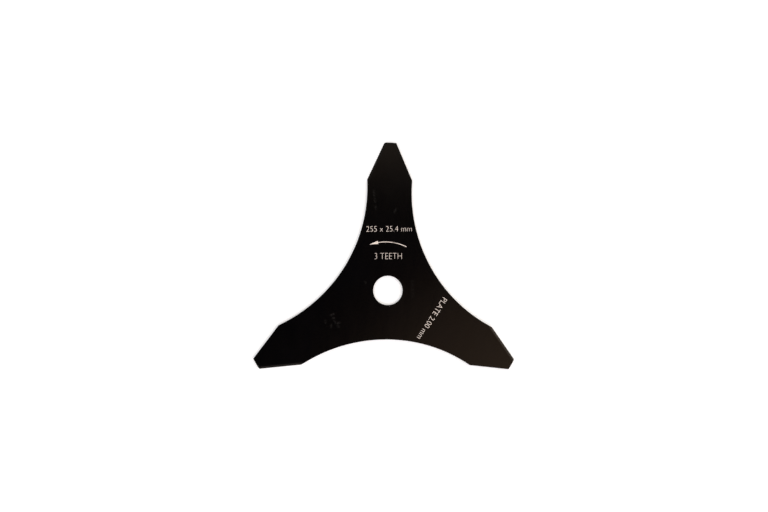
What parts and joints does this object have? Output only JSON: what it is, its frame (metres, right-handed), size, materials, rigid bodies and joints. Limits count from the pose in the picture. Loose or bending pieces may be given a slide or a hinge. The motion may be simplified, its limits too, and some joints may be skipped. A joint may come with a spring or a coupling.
{
  "type": "brush cutter blade",
  "caption": "Flat stamped steel blade for a brush cutter: tapered teeth with ground flanks, hollow edges between the teeth and a central arbor bore.",
  "frame": {"origin": "centre of the arbor bore, on the blade's underside", "axes": "+Z along the bore's axis, up through the printed side; +Y along one tooth; seen from above the blade turns counter-clockwise about +Z"},
  "size_m": [0.2254, 0.1956, 0.002],
  "materials": {
    "black_paint": "satin",
    "pale_print": "matte"
  },
  "bodies": {
    "root": {"blade": "black_paint"}
  },
  "joints": []
}
